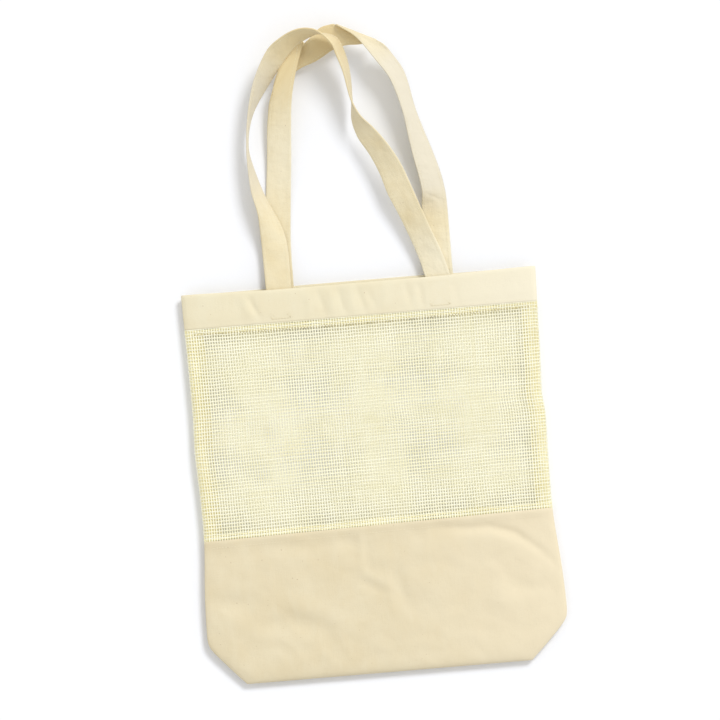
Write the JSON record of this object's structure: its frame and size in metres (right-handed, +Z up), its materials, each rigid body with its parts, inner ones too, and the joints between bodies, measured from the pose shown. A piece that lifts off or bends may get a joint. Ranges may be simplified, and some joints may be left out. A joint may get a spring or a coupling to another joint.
{
  "type": "mesh produce bag",
  "caption": "Flat tote for fruit and vegetables lying on its back: canvas hem, open net middle, canvas bottom with folded gusset, and long canvas straps.",
  "frame": {"origin": "centre of the whole object's footprint, on the surface that the bag lies on", "axes": "+X across the bag, +Y from the bottom fold to the straps, +Z up through the bag's thickness"},
  "size_m": [0.3854, 0.6933, 0.051],
  "materials": {
    "canvas": "matte",
    "net": "matte",
    "strap_canvas": "matte",
    "thread": "satin"
  },
  "bodies": {
    "back": {"base_panel": "canvas", "back_lower_panel": "canvas", "back_mesh_panel": "net", "back_band": "canvas", "back_handle_ends": "strap_canvas", "left_side_seam": "net", "right_side_seam": "net", "left_gusset_fold": "canvas", "right_gusset_fold": "canvas", "left_base_seam": "canvas", "right_base_seam": "canvas", "back_hem_stitching": "thread", "back_mesh_seam_stitching": "thread", "back_handle_box_stitching": "thread"},
    "front": {"front_lower_panel": "canvas", "front_mesh_panel": "net", "front_band": "canvas", "front_handle_ends": "strap_canvas", "front_hem_stitching": "thread", "front_mesh_seam_stitching": "thread", "front_handle_box_stitching": "thread"},
    "front_handle": {"front_handle": "strap_canvas", "front_handle_edge_stitching": "thread"},
    "back_handle": {"back_handle": "strap_canvas", "back_handle_edge_stitching": "thread"}
  },
  "joints": [
    {"name": "mouth_opening", "type": "hinge", "parent": "back", "child": "front", "pos_m": [0, -0.3458, 0.0039], "axis": [1, 0, 0], "range_deg": [0, 12]},
    {"name": "front_handle_swing", "type": "hinge", "parent": "front", "child": "front_handle", "pos_m": [0, 0.0711, 0.0109], "axis": [1, 0, 0], "range_deg": [0, 85]},
    {"name": "back_handle_swing", "type": "hinge", "parent": "back", "child": "back_handle", "pos_m": [0, 0.0724, 0.0023], "axis": [1, 0, 0], "range_deg": [0, 72.5]}
  ],
  "couplings": [
    {"joint": "back_handle_swing", "follows": "front_handle_swing", "ratio": 0.85}
  ]
}
